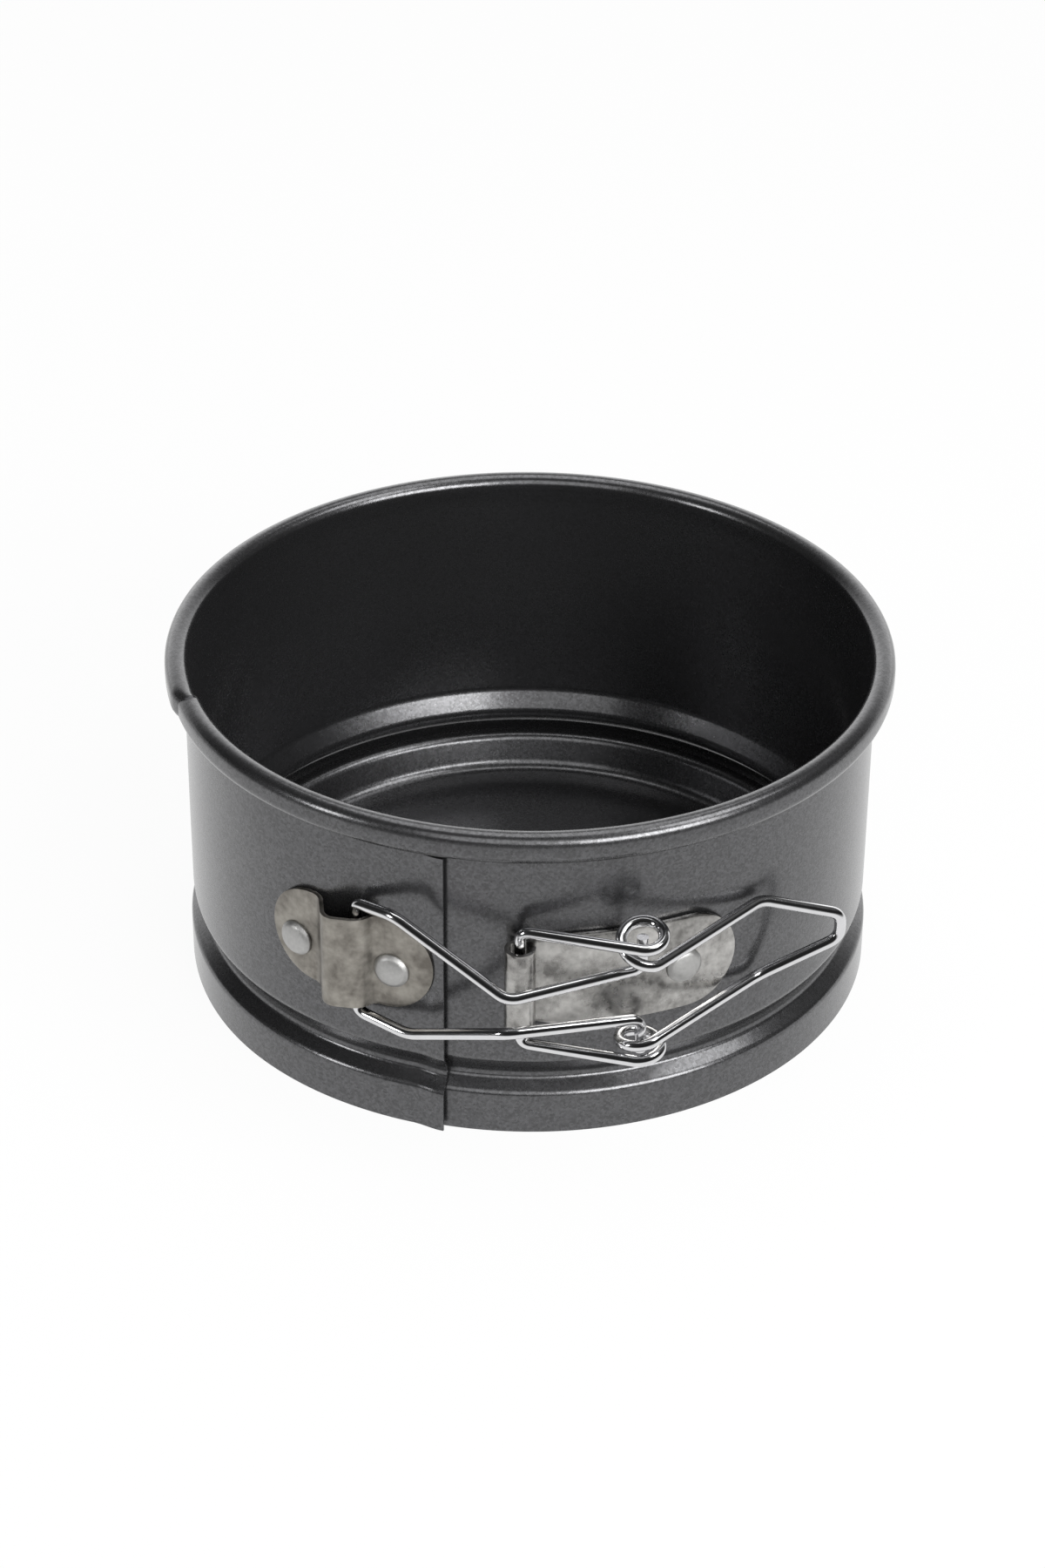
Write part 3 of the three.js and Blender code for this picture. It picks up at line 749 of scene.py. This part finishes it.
lever_bracket = pressed_strip(
    "lever_bracket_plate", line, spread(0, full, 0.3, 0.0, LEVER_HALF), lever_edges, lever_steel,
    [LEVER_RIVET],
)
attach(lever_bracket, "ring")
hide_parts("lever_bracket")

# %% [markdown]
# ## Rivets
# Three domed rivets hold the brackets. One dome is turned with the sheet tree, and a second tree puts a copy
# at every point it is given, standing out from the tin's axis. Each bracket has its own row, because the two
# brackets move apart.


# %% Rivet rows
def rivet_row_tree():
    tree, here, given = new_shape_tree("rivet_row", [
        ("Rivet", "NodeSocketObject"), ("Finish", "NodeSocketMaterial"),
    ])
    form = here.node("GeometryNodeObjectInfo", None, {"Object": given.out("Rivet")}).out("Geometry")
    outward = here.node("ShaderNodeVectorMath", {"operation": "MULTIPLY"}, {
        0: here.node("GeometryNodeInputPosition"), 1: (1, 1, 0),
    })
    turn = here.node("FunctionNodeAlignRotationToVector", {"axis": "Z"}, {"Vector": outward})
    copies = here.node("GeometryNodeInstanceOnPoints", None, {
        "Points": given.out("Geometry"), "Instance": form, "Rotation": turn,
    })
    finish_shape(here, copies, given)
    return tree


dome = rounded([
    (0, 0, -0.6), (2.7, 0, -0.6), (3.2, 0, 0.0), (3.16, 0, 0.3), (2.6, 0, 0.88), (1.4, 0, 1.2), (0, 0, 1.28),
], 0.5)
drawing = grow(line_mesh("rivet_section", dome), turned_sheet, Columns=41, Finish=satin, **FULL_TURN)
rivet_form = settle(drawing, "rivet_form", satin)
rivet_row = rivet_row_tree()


def rivets(name, azimuths, radius, body, *nodes):
    points = [(*around(azimuth, radius), MIDDLE - RIVET_DROP) for azimuth in azimuths]
    drawing = grow(line_mesh(name + "_points", points), rivet_row, Rivet=rivet_form, Finish=satin)
    row = settle(drawing, name, satin)
    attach(row, body)
    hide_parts(*nodes)


rivets("link_rivets", [RIVET_LEFT, RIVET_RIGHT], 62.1, "outer_end", "link_rivet_left", "link_rivet_right")
rivets("lever_rivet_head", [LEVER_RIVET], 61.4, "ring", "lever_rivet")
bpy.data.objects.remove(rivet_form)

# %% [markdown]
# ## Studio
# The photo is a plain product shot on white. The table shows white to the camera and to mirrors, mixed with a
# lit part that keeps the shadow; to mirrors it fades to dark further off in front, as a table that ends does.
# The surroundings are white behind the tin and dark overhead, which is what draws the dark lines along the
# bright wire.


# %% Floor and surroundings
def floor_piece():
    mesh = bpy.data.meshes.new("table")
    reach = 4.0
    corners = [(-reach, -reach, 0), (reach, -reach, 0), (reach, reach, 0), (-reach, reach, 0)]
    mesh.from_pydata(corners, [], [(0, 1, 2, 3)])
    table = bpy.data.objects.new("table", mesh)
    scene.collection.objects.link(table)
    material, here = new_material("white_table")
    path = here.node("ShaderNodeLightPath")
    shown = here.math("MAXIMUM", path.out("Is Camera Ray"), path.out("Is Glossy Ray"))
    lit = here.node("ShaderNodeBsdfDiffuse", None, {"Color": (0.86, 0.86, 0.86, 1)})
    glow = here.node("ShaderNodeEmission", None, {"Color": (1, 1, 1, 1), "Strength": 1.0})
    blend = here.node("ShaderNodeMixShader", None, {0: shown * 0.94, 1: lit, 2: glow})
    place = here.node("ShaderNodeTexCoord", None, None, "Object")
    spot = here.node("ShaderNodeSeparateXYZ", None, {"Vector": place})
    x, y = spot.out("X"), spot.out("Y") - 0.12
    far = here.node("ShaderNodeMapRange", {"interpolation_type": "SMOOTHSTEP"}, {
        "Value": here.math("SQRT", x * x + y * y),
        "From Min": 0.24, "From Max": 0.42, "To Min": 0.0, "To Max": 0.85,
    })
    front = here.node("ShaderNodeMapRange", {"interpolation_type": "SMOOTHSTEP"}, {
        "Value": y, "From Min": 0.0, "From Max": 0.22, "To Min": 1.0, "To Max": 0.0,
    })
    dim = here.node("ShaderNodeEmission", None, {"Color": (1, 1, 1, 1), "Strength": 0.05})
    fade = path.out("Is Glossy Ray") * far * front
    edge = here.node("ShaderNodeMixShader", None, {0: fade, 1: blend, 2: dim})
    here.node("ShaderNodeOutputMaterial", None, {"Surface": edge})
    mesh.materials.append(material)
    return table


def surroundings():
    world = bpy.data.worlds.new("studio")
    scene.world = world
    world.use_nodes = True
    world.node_tree.nodes.clear()
    here = Value(world.node_tree)
    place = here.node("ShaderNodeTexCoord", None, None, "Generated")
    way = here.node("ShaderNodeSeparateXYZ", None, {"Vector": place})
    backdrop = here.node("ShaderNodeMapRange", {"interpolation_type": "SMOOTHSTEP"}, {
        "Value": way.out("Y") - 0.35 * way.out("Z"),
        "From Min": 0.35, "From Max": 0.8, "To Min": 0.0, "To Max": 1.6,
    })
    ceiling = here.node("ShaderNodeMapRange", {"interpolation_type": "SMOOTHSTEP"}, {
        "Value": way.out("Z") + 0.45 * way.out("Y") + 0.2 * way.out("X"),
        "From Min": 0.5, "From Max": 0.95, "To Min": 0.02, "To Max": 0.10,
    })
    path = here.node("ShaderNodeLightPath")
    around_it = here.math("MAXIMUM", backdrop, ceiling)
    strength = path.out("Is Camera Ray") + (1 - path.out("Is Camera Ray")) * around_it
    back = here.node("ShaderNodeBackground", None, {"Color": (1, 1, 1, 1), "Strength": strength})
    here.node("ShaderNodeOutputWorld", None, {"Surface": back})


table = floor_piece()
surroundings()
print("stage:", table.name, scene.world.name)

# %% [markdown]
# ## Lamps
# A large soft lamp stands in front on the right, and a weaker one in front of the tin. Both are higher than
# the rim, so that their light reaches the bead and the base over the front of the tin. They leave the two
# wires out, which would turn plain white; the wires mirror the table and the dark overhead instead. Three
# more lamps give the rim, the brackets and the rings of the base their highlights.

# %% Lamps
LAMP_DISTANCE = 1.3
CENTRE = Vector((0, 0, 0.03))


def soft_lamp(name, azimuth, rise, size, power):
    """A flat lamp aimed at the tin: azimuth from the front and rise above the table in degrees."""
    lamp = bpy.data.lights.new(name, "AREA")
    lamp.shape, lamp.size, lamp.size_y, lamp.energy = "RECTANGLE", size[0], size[1], power
    holder = bpy.data.objects.new(name, lamp)
    x, y = around(azimuth, LAMP_DISTANCE * math.cos(math.radians(rise)))
    holder.location = x, y, LAMP_DISTANCE * math.sin(math.radians(rise))
    holder.rotation_mode = "QUATERNION"
    holder.rotation_quaternion = (CENTRE - holder.location).to_track_quat("-Z", "Y")
    scene.collection.objects.link(holder)
    return holder


unlit = bpy.data.collections.new("unlit_wires")
for piece in (link_wire, lever_wire):
    unlit.objects.link(piece)
for held in unlit.collection_objects:
    held.light_linking.link_state = "EXCLUDE"
soft_lamp("key", 36, 27, (0.9, 0.55), 15.5).light_linking.receiver_collection = unlit
soft_lamp("front", -9, 36, (0.9, 0.85), 3.7).light_linking.receiver_collection = unlit
soft_lamp("left", -60, 20, (0.2, 0.4), 3)
soft_lamp("high_right", 74, 56, (0.5, 0.5), 4)
soft_lamp("overhead", 180, 75, (0.9, 0.9), 5)

# %% [markdown]
# ## Camera
# The camera stands where the photo was taken from, as fitted to the rim, the foot and the base: two thirds of
# a metre off, looking down by about a third of a right angle, and turned by less than half a degree.

# %% Camera
LENS, SENSOR = 85.707, 36.0
STAND = Vector((-1.15, -562.93, 389.98))
LOOK_AT = Vector((-1.148, 0, 30.98))
TURN = 0.448  # degrees about the line of sight
camera = bpy.data.cameras.new("photo")
camera.lens, camera.sensor_width = LENS, SENSOR
viewer = bpy.data.objects.new("photo", camera)
scene.collection.objects.link(viewer)
viewer.location = STAND * MM
aim = LOOK_AT * MM - viewer.location
viewer.rotation_mode = "QUATERNION"
viewer.rotation_quaternion = aim.to_track_quat("-Z", "Y") @ Quaternion((0, 0, 1), math.radians(TURN))
scene.camera = viewer
scene.view_settings.view_transform = "Standard"
print("camera:", [round(c, 4) for c in viewer.location])

# %% [markdown]
# The dressed tin must fill the same box as the packed one.
